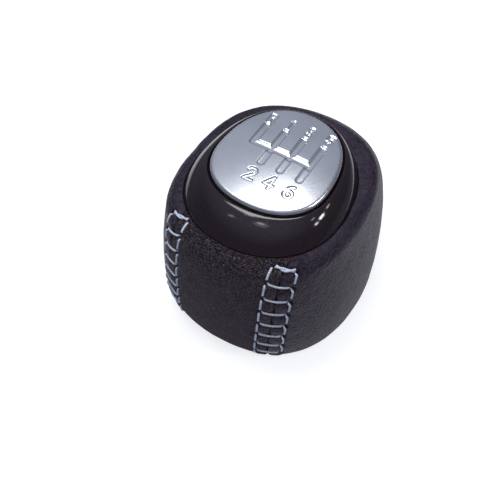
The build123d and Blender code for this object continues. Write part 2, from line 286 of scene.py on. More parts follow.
@dataclass(frozen=True)
class GripForm:
    """The leather-covered body: an egg-shaped section at each level, rolled in at the ring and the base.

    A course along the profile counts stretches, so 4.5 is half way down the side.
    """

    levels: tuple[float, ...] = (0.4, 10.0, 21.5, 31.5, 39.6)
    half_widths: tuple[float, ...] = (28.7, 29.0, 28.1, 26.9, 26.4)
    fronts: tuple[float, ...] = (29.3, 33.8, 37.0, 35.8, 28.9)
    rears: tuple[float, ...] = (29.6, 31.6, 31.8, 30.7, 27.3)
    fullness: float = 0.655
    crown_round: float = 4.0
    foot_round: float = 2.2
    edge_round: float = 0.25
    least_ledge: float = 0.1
    tuck: float = 1.1
    ring_gap: float = 0.1
    hem: float = 5.9
    halvings: int = 32

    @property
    def base(self) -> float:
        """Height of the underside."""
        return self.levels[0]

    @property
    def top(self) -> float:
        """Height of the ledge round the ring."""
        return self.levels[-1]

    def sizes(self, level: Array, order: int = 0) -> Egg:
        """Section at a height, or its change with height.

        Args:
            level: Heights.
            order: 0 for the section, 1 for its first derivative.

        Returns:
            The outline.
        """
        values = []
        for reaches in (self.half_widths, self.fronts, self.rears):
            curve = np.polyfit(self.levels, reaches, len(self.levels) - 1)
            values.append(np.polyval(np.polyder(curve, order) if order else curve, level))
        return Egg(values[0], values[1], values[2], 0.0, self.fullness)

    def section(self, turn: Array, level: Array) -> Array:
        """Points of the sharp-edged body at heights."""
        x, y = self.sizes(level).at(turn)
        return np.stack([x, y, np.broadcast_to(level, x.shape)], axis=-1)

    def fall(self, turn: Array, level: Array) -> Array:
        """Unit directions that run down the side at heights."""
        x, y = self.sizes(level, 1).at(turn)
        return unit(np.stack([-x, -y, -np.ones_like(x)], axis=-1))

    def surface(self, turn: Array, course: Array) -> Array:
        """Points of the rolled body.

        Args:
            turn: Turns round the body, in quarters.
            course: Courses along the profile, of the same shape.

        Returns:
            Points with their coordinates on the last axis.
        """
        turn, course = np.broadcast_arrays(turn, course)
        top = np.full(turn.shape, self.top)
        base = np.full(turn.shape, self.base)
        ring_x, ring_y = RING_OUTLINE.grown(self.ring_gap).at(turn)
        hem_x, hem_y = self.sizes(base).grown(-self.hem).at(turn)
        edge = np.stack([ring_x, ring_y, top], axis=-1)
        crown = self.section(turn, top)
        foot = self.section(turn, base)
        hem = np.stack([hem_x, hem_y, base], axis=-1)
        up = np.array([0.0, 0.0, 1.0])

        ledge = np.linalg.norm(crown - edge, axis=-1, keepdims=True) - self.edge_round - self.least_ledge
        out = unit(crown - edge)
        fall = self.fall(turn, top)
        bend = angle_between(out, fall)
        reach = np.minimum(self.crown_round * np.tan(bend / 2), ledge)
        crown_end_z = self.top + reach[..., 0] * fall[..., 2]
        crown_end = self.section(turn, crown_end_z)

        inward = unit(hem - foot)
        foot_fall = self.fall(turn, base)
        foot_bend = angle_between(inward, foot_fall)
        foot_reach = self.foot_round * np.tan(foot_bend / 2)
        foot_start_z = self.base - foot_reach[..., 0] * foot_fall[..., 2]
        foot_start = self.section(turn, foot_start_z)

        stage = np.clip(np.floor(course), 0, len(Stretch) - 1)
        share = np.clip(course - stage, 0, 1)
        step = share[..., None]
        side_z = crown_end_z + (foot_start_z - crown_end_z) * share
        edge_start = edge - up * self.edge_round
        edge_end = edge + out * self.edge_round
        crown_start = crown - out * reach
        foot_end = foot + inward * foot_reach
        points = {
            Stretch.TUCK: edge - up * (self.tuck + (self.edge_round - self.tuck) * step),
            Stretch.EDGE: roll(edge_start, up, edge_end, out, np.full_like(reach, math.pi / 2), step),
            Stretch.LEDGE: edge_end + (crown_start - edge_end) * step,
            Stretch.CROWN: roll(crown_start, out, crown_end, self.fall(turn, crown_end_z), bend, step),
            Stretch.SIDE: self.section(turn, side_z),
            Stretch.FOOT: roll(
                foot_start, self.fall(turn, foot_start_z), foot_end, inward, foot_bend, step
            ),
            Stretch.HEM: foot_end + (hem - foot_end) * step,
        }
        found = np.zeros(turn.shape + (3,))
        for stretch, spots in points.items():
            found = np.where((stage == stretch.value)[..., None], spots, found)
        return found

    def turn_at(self, x: Array, course: Array) -> Array:
        """Turns behind the lever at which the body has the given x, found by halving.

        Args:
            x: Wanted sideways places.
            course: Courses along the profile, of the same shape.

        Returns:
            Turns between 2 (left) and 4 (right).
        """
        x, course = np.broadcast_arrays(x, course)
        low = np.full(x.shape, 2.0)
        high = np.full(x.shape, 4.0)
        for _ in range(self.halvings):
            middle = (low + high) / 2
            short = self.surface(middle, course)[..., 0] < x
            low = np.where(short, middle, low)
            high = np.where(short, high, middle)
        return (low + high) / 2


def roll(
    start: Array,
    leave: Array,
    end: Array,
    arrive: Array,
    bend: Array,
    step: Array,
) -> Array:
    """Points of a round corner as a cubic curve.

    Args:
        start: Where the corner starts.
        leave: Unit direction there.
        end: Where the corner ends.
        arrive: Unit direction there.
        bend: Angle that the corner turns through.
        step: Share of the way, from 0 to 1.

    Returns:
        The points.
    """
    chord = np.linalg.norm(end - start, axis=-1, keepdims=True)
    handle = chord / (2 * np.sin(bend / 2)) * 4 / 3 * np.tan(bend / 4)
    rest = 1 - step
    first, second = start + leave * handle, end - arrive * handle
    return rest**3 * start + 3 * rest**2 * step * first + 3 * rest * step**2 * second + step**3 * end


# Laced seams


class Side(Enum):
    """The two laced seams, by the sign of their x."""

    RIGHT = 1
    LEFT = -1

    @property
    def label(self) -> str:
        """Lower-case name for pieces and nodes."""
        return self.name.lower()


@dataclass(frozen=True)
class TwistedThread:
    """Three-ply sewing thread whose plies show as a twist."""

    diameter: float = 0.58
    plies: int = 3
    lobe: float = 0.17
    lay: float = 1.5
    sides: int = 12
    tip: float = 0.7

    def sew(self, mesh: BMesh, path: Array, normals: Array) -> None:
        """Sweeps one length of thread into a bmesh.

        Args:
            mesh: Takes the thread.
            path: Points of its centre line, in millimetres.
            normals: Normals of the skin at those points.
        """
        tangents = np.gradient(path, axis=0)
        lengths = np.append(0.0, np.cumsum(np.linalg.norm(np.diff(path, axis=0), axis=1)))
        ring = bmesh.ops.create_circle(mesh, segments=self.sides, radius=self.diameter / 2 * MM)["verts"]
        for vert in ring:
            vert.co *= 1 + self.lobe * math.cos(self.plies * math.atan2(vert.co.y, vert.co.x))
        edges = list({edge for vert in ring for edge in vert.link_edges})
        ends = [edges]
        before = Matrix.Identity(4)
        for index, (point, tangent, normal, length) in enumerate(zip(path, tangents, normals, lengths)):
            if index:
                grown = bmesh.ops.extrude_edge_only(mesh, edges=edges)
                ring = new_verts(grown)
                fresh = set(ring)
                edges = [
                    item for item in grown["geom"]
                    if isinstance(item, BMEdge) and fresh.issuperset(item.verts)
                ]
            size = self.tip if index in (0, len(path) - 1) else 1.0
            place = self.stand(point, tangent, normal, length, size)
            bmesh.ops.transform(mesh, matrix=place @ before.inverted(), verts=ring)
            before = place
        ends.append(edges)
        for end in ends:
            bmesh.ops.contextual_create(mesh, geom=end)

    def stand(
        self, point: Array, tangent: Array, normal: Array, length: float, size: float
    ) -> Matrix:
        """Place of one section, turned by the twist.

        Args:
            point: Centre, in millimetres.
            tangent: Direction of the thread.
            normal: Normal of the skin.
            length: Distance along the thread.
            size: Scale of the section.

        Returns:
            The section's matrix, in metres.
        """
        ahead = Vector(tangent).normalized()
        aside = ahead.cross(Vector(normal)).normalized()
        above = aside.cross(ahead)
        turned = Matrix((above, aside, ahead)).transposed().to_4x4()
        twist = Matrix.Rotation(math.tau * length / self.lay, 4, "Z")
        return Matrix.Translation(Vector(point) * MM) @ turned @ twist @ Matrix.Scale(size, 4)


@dataclass(frozen=True)
class SkinPull:
    """How lacing shapes a skin: depths of its dents and heights of its swellings, and how wide they are."""

    puff: float = 0.30
    shoulder: float = 0.12
    shoulder_width: float = 2.2
    bar: float = 0.26
    bar_width: float = 0.55
    seam: float = 0.42
    seam_width: float = 0.4
    rail: float = 0.22
    rail_width: float = 0.5
    hole: float = 0.60
    hole_width: float = 0.4
    strip_edge: Pair = (-0.3, 0.9)
    top_fade: Pair = (-1.2, 0.2)
    tail_fade: float = 2.0


@dataclass
class LacedSeam:
    """Lacing between leather and suede: cross bars from hole to hole and a row of stitches on each side."""

    form: GripForm
    side: Side = Side.RIGHT
    x: float = 15.8
    tail_half: float = 3.4
    top_half: float = 2.9
    top_skew: float = 1.0
    tail_skew: float = -0.9
    pitch: float = 5.4
    top_lead: float = -0.5
    top_slant: float = 4.2
    tail_slant: float = 1.4
    top_drop: float = 0.05
    tail_height: float = 1.6
    margin: float = 1.2
    bar_sink: float = 0.2
    bar_sag: float = 0.25
    rail_sink: float = 0.1
    hole_gap: float = 0.6
    rail_gap: float = 0.7
    dip: float = 1.2
    double_gap: float = 0.55
    double_rise: float = 0.5
    least_stitch: float = 2.4
    lean_over: float = 0.1
    hook: float = 0.4
    hook_share: float = 0.16
    rail_lean: float = 0.08
    bar_points: int = 34
    rail_points: int = 30
    net_columns: int = 19
    net_rows: int = 460
    net_stop: float = 0.05
    thread: TwistedThread = TwistedThread()
    pull: SkinPull = SkinPull()
    run: float = field(init=False, default=0.0)
    offsets: Array = field(init=False)
    spots: Array = field(init=False)
    normals: Array = field(init=False)
    courses: Array = field(init=False)

    def __post_init__(self) -> None:
        """Lays a fine net over the seam, drawn as on the right."""
        reach = self.tail_half + self.margin
        self.offsets = np.linspace(-reach, reach, self.net_columns)
        course = np.linspace(Stretch.LEDGE.value, Stretch.HEM.value - self.net_stop, self.net_rows)
        turn = self.form.turn_at(self.line(course)[:, None] + self.offsets[None, :], course[:, None])
        self.spots = self.form.surface(turn, course[:, None])
        self.normals = sheet_normals(self.spots)
        self.courses = self.distances(self.spots)

    def line(self, course: Array) -> Array:
        """Distances of the seam from the middle, course by course; the panel is sewn a little askew."""
        down = np.square(np.clip(course - Stretch.SIDE.value, 0.0, 1.0))
        return self.x + self.side.value * (self.top_skew + (self.tail_skew - self.top_skew) * down)

    def distances(self, sheet: Array) -> Array:
        """Distances down each column from the top bar, as long as on the seam itself.

        The first call, on the seam's own net, also finds how long that is.

        Args:
            sheet: Points by row and column.

        Returns:
            A distance for each point; the columns' lengths are evened out.
        """
        lengths = lengths_down(sheet)
        heights = sheet[:, :, 2]
        outside = np.arange(len(sheet))[:, None] > np.argmax(heights, axis=0)
        marks = []
        for height in (self.form.top - self.top_drop, self.tail_height):
            below = (heights < height) & outside
            marks.append(lengths[np.argmax(below, axis=0), np.arange(sheet.shape[1])])
        if self.run == 0.0:
            middle = sheet.shape[1] // 2
            self.run = float(marks[1][middle] - marks[0][middle])
        return (lengths - marks[0]) / (marks[1] - marks[0]) * self.run

    @property
    def bar_count(self) -> int:
        """Number of cross bars."""
        return int(self.run / self.pitch) + 1

    def half(self, distance: Span) -> Span:
        """Half width of the laced strip, which narrows towards its top."""
        share = np.clip(distance / self.run, 0.0, 1.0)
        return self.top_half + (self.tail_half - self.top_half) * share

    def slant(self, offset: Span) -> tuple[Span, Span]:
        """How bars lie lower on the leather than on the suede.

        Args:
            offset: Distances from the seam, positive on the leather.

        Returns:
            The top bar's drop at those offsets, and what each bar below adds to it.
        """
        lean = np.clip(offset / (2 * self.tail_half) + 0.5, -self.lean_over, 1 + self.lean_over)
        more = lean * (self.tail_slant - self.top_slant) / (self.bar_count - 1)
        return self.top_lead + lean * self.top_slant, more

    def drop(self, offset: Span, bar: int) -> Span:
        """Distance of a bar down from the top, at offsets from the seam."""
        first, more = self.slant(offset)
        return bar * self.pitch + first + more * bar

    def spot(self, offset: float, distance: float) -> tuple[Array, Array]:
        """Point and normal of the skin.

        Args:
            offset: Distance from the seam, positive on the leather.
            distance: Distance down from the top bar.

        Returns:
            The point and its unit normal.
        """
        place = np.interp(offset, self.offsets, np.arange(len(self.offsets)))
        left = min(int(place), len(self.offsets) - 2)
        share = place - left
        found = []
        for values in (self.spots, self.normals):
            pair = [
                np.array([np.interp(distance, self.courses[:, c], values[:, c, axis]) for axis in range(3)])
                for c in (left, left + 1)
            ]
            found.append(pair[0] * (1 - share) + pair[1] * share)
        return found[0], unit(found[1])

    def press(self, offset: Array, distance: Array) -> Array:
        """How far the threads pull the skin in (below 0) and let it swell between them (above 0).

        Args:
            offset: Distances from the seam, positive on the leather.
            distance: Distances down from the top bar.

        Returns:
            Moves along the normal, in millimetres.
        """
        first, more = self.slant(offset)
        row = (distance - first) / (self.pitch + more)
        apart = (row - np.clip(np.round(row), 0, self.bar_count - 1)) * self.pitch
        side = np.abs(offset) - self.half(distance)
        pull = self.pull
        strip = 1 - smooth_step(*pull.strip_edge, side)
        tail = smooth_step(self.run, self.run + pull.tail_fade, distance)
        swell = np.square(np.sin(math.pi * apart / self.pitch))
        moves = swell * (pull.puff * strip + pull.shoulder * bell(side, pull.shoulder_width))
        moves -= pull.bar * bell(apart, pull.bar_width) * strip
        moves -= pull.seam * bell(offset, pull.seam_width)
        moves -= pull.rail * bell(side, pull.rail_width)
        moves -= pull.hole * bell(np.hypot(side, apart), pull.hole_width)
        return moves * smooth_step(*pull.top_fade, distance) * (1 - tail)

    def path(self, places: Array, lifts: Array) -> tuple[Array, Array]:
        """Centre line of a thread.

        Args:
            places: Offset and distance of each point.
            lifts: Height of each point above the skin.

        Returns:
            The points and the normals there.
        """
        found = [self.spot(offset, distance) for offset, distance in places]
        normals = np.array([normal for _, normal in found])
        points = np.array([point for point, _ in found]) + normals * lifts[:, None]
        flip = np.array([self.side.value, 1.0, 1.0])
        return points * flip, normals * flip

    def lift(self, run: Array, sink: float) -> Array:
        """Heights above the skin along a thread that lies sunk in it and dives into its holes."""
        near = np.minimum(run - run[0], run[-1] - run)
        return self.thread.diameter / 2 - sink - self.dip * (1 - smooth_step(0.0, self.hole_gap, near))

    def sew_bars(self, mesh: BMesh) -> None:
        """Sews the cross bars; the top one is a doubled thread.

        Args:
            mesh: Takes the bars.
        """
        share = np.linspace(-1.0, 1.0, self.bar_points)
        sag = self.bar_sag * (1 - np.square(share))
        for bar in range(self.bar_count):
            reach = self.half(bar * self.pitch) - self.hole_gap / 2
            offset = reach * share
            lifts = self.lift(offset, self.bar_sink)
            for strand in (-0.5, 0.5) if bar == 0 else (0.0,):
                aside = strand * self.double_gap * np.cos(math.pi * share)
                above = strand * self.double_gap * np.sin(math.pi * share) * self.double_rise
                places = np.stack([offset, self.drop(offset, bar) + sag + aside], axis=1)
                self.thread.sew(mesh, *self.path(places, lifts + above))

    def sew_rail(self, mesh: BMesh, edge: int, hook: float) -> None:
        """Sews one row of stitches along the seam.

        Args:
            mesh: Takes the stitches.
            edge: 1 for the leather's edge of the strip, -1 for the suede's.
            hook: How far the upper end of a stitch leans to the seam.
        """
        stops = [float(self.drop(edge * self.half(bar * self.pitch), bar)) for bar in range(self.bar_count)]
        stops.append(self.run)
        for upper, lower in zip(stops[:-1], stops[1:]):
            if lower - upper < self.least_stitch:
                continue
            run = np.linspace(upper + self.rail_gap, lower - self.rail_gap, self.rail_points)
            share = (run - run[0]) / (run[-1] - run[0])
            lean = self.rail_lean * (0.5 - share)
            offset = self.half(run) - hook * bell(share, self.hook_share) + lean
            places = np.stack([edge * offset, run], axis=1)
            self.thread.sew(mesh, *self.path(places, self.lift(run, self.rail_sink)))

    def build(self, finish: Material) -> None:
        """Builds the seam's threads and dresses them.

        Args:
            finish: The threads' material.
        """
        jobs: dict[str, Callable[[BMesh], None]] = {
            "lacing": self.sew_bars,
            "suede_stitches": lambda mesh: self.sew_rail(mesh, -1, 0.0),
            "leather_stitches": lambda mesh: self.sew_rail(mesh, 1, self.hook),
        }
        for kind, sew in jobs.items():
            mesh = bmesh.new()
            sew(mesh)
            bmesh.ops.recalc_face_normals(mesh, faces=mesh.faces)
            node = f"{self.side.label}_seam_{kind}"
            new_piece(f"{self.side.label}_{kind}_thread", mesh, finish, node)


# Leather and suede


@dataclass
class GripSkin:
    """Leather round the front and sides and a suede panel at the rear, drawn over the body."""

    form: GripForm
    right: LacedSeam
    left: LacedSeam
    gap: float = 0.12
    thickness: float = 1.2
    leather_columns: int = 260
    suede_columns: int = 84
    rows: tuple[int, ...] = (4, 6, 5, 18, 100, 8, 5)
    seam_crowding: float = 0.62
    gather: float = 0.12
    gather_start: float = 1.2
    gather_reach: float = 4.2
    gather_waves: tuple[int, ...] = (41, 58, 73)
    lump: float = 0.06
    lump_length: float = 9.0
    lump_skew: Triple = (0.4, 0.3, 0.8)

    def courses(self) -> Array:
        """Courses of the rows, from the ring down to the hem."""
        parts = [np.linspace(i, i + 1, count, endpoint=False) for i, count in enumerate(self.rows)]
        return np.append(np.concatenate(parts), len(self.rows) - TINY)[:, None]

    def dented(self, sheet: Array, turn: Array, gather: float) -> Array:
        """Moves the points for gathers at the ring, soft lumps and the pull of the seams.

        Args:
            sheet: Points by row and column.
            turn: Their turns round the body.
            gather: Height of the gathers.

        Returns:
            The moved points.
        """
        lengths = lengths_down(sheet) - self.form.tuck
        waves = sum(
            np.sin(math.tau * count * turn / 4 + count) for count in self.gather_waves
        ) / len(self.gather_waves)
        start = smooth_step(0.0, self.gather_start, lengths)
        moves = gather * waves * start * bell(np.maximum(lengths, 0.0), self.gather_reach)
        pace = math.tau / self.lump_length
        x, y, z = np.moveaxis(sheet, -1, 0)
        lean, turned, slow = self.lump_skew
        ripple = np.sin(pace * (x + lean * z)) * np.sin(pace * (y - turned * x)) * np.cos(pace * slow * z)
        moves += self.lump * ripple
        for seam in (self.right, self.left):
            out = seam.side.value * x
            pulled = seam.press(out - seam.line(self.courses()), seam.distances(sheet))
            moves += np.where((y < 0) & (out > 0), pulled, 0.0)
        return sheet + sheet_normals(sheet) * moves[..., None]

    def leather_sheet(self) -> Array:
        """Draws the leather over the body, from the right seam round the front to the left seam.

        Returns:
            Points by row and column.
        """
        course = self.courses()
        start, end = (
            self.form.turn_at(seam.line(course) + self.gap / 2, course) - 4.0
            for seam in (self.right, self.left)
        )
        even = np.linspace(0.0, 1.0, self.leather_columns + 1)[None, :]
        share = even - self.seam_crowding * np.sin(math.tau * even) / math.tau
        turn = start + (2.0 - start - end) * share
        return self.dented(self.form.surface(turn, course), turn, self.gather)

    def suede_sheet(self) -> Array:
        """Draws the suede over the body, from the left seam to the right seam.

        Returns:
            Points by row and column.
        """
        course = self.courses()
        even = np.linspace(0.0, 1.0, self.suede_columns + 1)[None, :]
        share = even - self.seam_crowding / 2 * np.sin(math.tau * even) / math.tau
        start, end = self.gap / 2 - self.left.line(course), self.right.line(course) - self.gap / 2
        turn = self.form.turn_at(start + (end - start) * share, course)
        return self.dented(self.form.surface(turn, course), turn, 0.0)

    def build(self, leather: Material, suede: Material) -> None:
        """Builds both skins, gives them their thickness and dresses them.

        Args:
            leather: The leather's material.
            suede: The suede's material.
        """
        jobs = (
            ("leather_skin", self.leather_sheet(), "grip_leather", "leather_wrap", leather),
            ("suede_skin", self.suede_sheet(), "panel_suede", "suede_panel", suede),
        )
        for name, sheet, slot, node, finish in jobs:
            piece = new_piece(name, bent_grid(sheet), finish, node)
            wall = piece.modifiers.new("thickness", "SOLIDIFY")
            wall.thickness = self.thickness * MM
            wall.offset = -1.0


# Ring and plate


@dataclass
class GlossRing:
    """Gloss ring with a round flank and a pocket for the plate."""

    foot: float = 38.3
    level: float = 39.6
    rim: float = 45.6
    pocket_floor: float = 44.9
    gap: float = 0.6
    land: float = 0.5
    lip: float = 0.18
    under_plate: float = 0.8
    foot_depth: float = 2.6
    foot_angle: float = math.radians(40.0)
    rim_angle: float = math.radians(74.0)
    columns: int = 288
    flank_rows: int = 44
    eased_rows: int = 2
    edge_rows: int = 8
    lip_rows: int = 6

    def section(self, lift: float) -> tuple[Egg, float]:
        """Outline and height of the flank.

        Args:
            lift: Angle up the round, from the one at its foot to the one at its rim.

        Returns:
            The outline and its height.
        """
        start, end = self.foot_angle, self.rim_angle
        inward = (math.cos(start) - math.cos(lift)) / (math.cos(start) - math.cos(end))
        rise = (math.sin(lift) - math.sin(start)) / (math.sin(end) - math.sin(start))
        goal = PLATE_OUTLINE.grown(self.gap + self.land)
        mix = {
            name: getattr(RING_OUTLINE, name) + (getattr(goal, name) - getattr(RING_OUTLINE, name)) * inward
            for name in ("half_width", "front", "rear", "widest_y", "fullness")
        }
        return Egg(**mix), self.level + (self.rim - self.level) * rise

    def pocket(self) -> list[tuple[Egg, float]]:
        """Runs from the pocket's floor to the flat of the rim.

        Returns:
            Outlines and their heights.
        """
        inner = PLATE_OUTLINE.grown(self.gap)
        under = inner.grown(-self.gap - self.under_plate)
        rows = [(under, self.pocket_floor), (inner, self.pocket_floor)]
        for step in range(self.lip_rows + 1):
            angle = math.pi / 2 * step / self.lip_rows
            outward, short = self.lip * (1 - math.cos(angle)), self.lip * (1 - math.sin(angle))
            rows.append((inner.grown(outward), self.rim - short))
        return rows

    def flank(self) -> list[tuple[Egg, float]]:
        """Runs from the rim down to the foot, which is out of sight.

        Returns:
            Outlines and their heights.
        """
        lifts = np.linspace(self.rim_angle, self.foot_angle, self.flank_rows + 1)
        rows = [self.section(lift) for lift in lifts]
        return rows + [(RING_OUTLINE, self.foot), (RING_OUTLINE.grown(-self.foot_depth), self.foot)]

    def loops(self, levels: list[tuple[Egg, float]]) -> list[Array]:
        """Draws the ring level by level.

        Args:
            levels: Outlines and their heights.

        Returns:
            The points round each level.
        """
        found = []
        for outline, height in levels:
            x, y = outline.at(np.linspace(0.0, 4.0, self.columns + 1))
            found.append(np.stack([x, y, np.full_like(x, height)], axis=-1))
        return found

    def build(self, finish: Material) -> None:
        """Builds the ring, with the edge between its rim and its flank eased, and dresses it.

        Args:
            finish: The ring's material.
        """
        pocket, flank = self.loops(self.pocket()), self.loops(self.flank())
        before, corner, after = pocket[-1], flank[0], flank[self.eased_rows]
        edge = [
            before * (1 - share) ** 2 + corner * 2 * share * (1 - share) + after * share**2
            for share in np.linspace(0.0, 1.0, self.edge_rows + 1)[1:-1]
        ]
        sheet = np.array(pocket + edge + flank[self.eased_rows:])
        new_piece("gloss_ring", bent_grid(sheet, closed=True), finish, "trim_ring")


@dataclass(frozen=True)
class Bow:
    """Part of an ellipse in a gate mark, by its centre, its half axes and its angles in degrees."""

    x: float
    y: float
    half_x: float
    half_y: float
    start: float
    end: float
    count: int = 15

    def points(self) -> list[Pair]:
        """Points along it."""
        angles = np.radians(np.linspace(self.start, self.end, self.count))
        return [(self.x + self.half_x * math.cos(a), self.y + self.half_y * math.sin(a)) for a in angles]


class GateMark(Enum):
    """Marks of the gate pattern as strokes in a square of side 1: rows of corners and bows."""

    REVERSE = (
        ((-0.28, -0.5), (-0.28, 0.5), (0.02, 0.5), Bow(0.02, 0.24, 0.27, 0.26, 90, -90), (-0.28, -0.02)),
        ((0.02, -0.02), (0.3, -0.5)),
    )
    FIRST = (((-0.16, 0.3), (0.06, 0.5), (0.06, -0.5)),)
    SECOND = ((Bow(0.0, 0.21, 0.29, 0.29, 160, -40), (-0.29, -0.5), (0.32, -0.5)),)
    THIRD = (
        (Bow(0.0, 0.25, 0.26, 0.25, 150, -90),),
        (Bow(0.0, -0.25, 0.29, 0.25, 90, -150),),
    )
    FOURTH = (((0.13, -0.5), (0.13, 0.5), (-0.32, -0.2), (0.34, -0.2)),)
    FIFTH = (((0.26, 0.5), (-0.2, 0.5), (-0.24, 0.06), Bow(0.0, -0.18, 0.3, 0.32, 130, -145)),)
    SIXTH = (
        (Bow(0.0, -0.2, 0.29, 0.3, 0, 360),),
        (Bow(0.3, -0.2, 0.59, 0.72, 105, 180),),
    )

    def strokes(self, x: float, y: float, size: float) -> list[Array]:
        """Strokes of the mark on the plate.

        Args:
            x: Sideways place of its middle.
            y: Forward place of its middle.
            size: Height between the centre lines of its strokes.

        Returns:
            A row of points for each stroke.
        """
        found = []
        for stroke in self.value:
            corners: list[Pair] = []
            for item in stroke:
                corners.extend(item.points() if isinstance(item, Bow) else [item])
            found.append(np.array(corners) * size + np.array([x, y]))
        return found


def from_strokes(x: Array, y: Array, strokes: list[Array]) -> tuple[Array, Array]:
    """Places of points beside the nearest of several strokes.

    Args:
        x: Sideways places of the points.
        y: Their forward places.
        strokes: Rows of corners.

    Returns:
        How far each point lies to the right of the stroke and to its front.
    """
    nearest = np.full(x.shape, np.inf)
    right, ahead = np.zeros_like(x), np.zeros_like(y)
    for corners in strokes:
        for start, end in zip(corners[:-1], corners[1:]):
            run = end - start
            share = ((x - start[0]) * run[0] + (y - start[1]) * run[1]) / max(float(run @ run), TINY)
            share = np.clip(share, 0.0, 1.0)
            aside, above = x - start[0] - run[0] * share, y - start[1] - run[1] * share
            apart = np.hypot(aside, above)
            closer = apart < nearest
            nearest = np.where(closer, apart, nearest)
            right, ahead = np.where(closer, aside, right), np.where(closer, above, ahead)
    return right, ahead


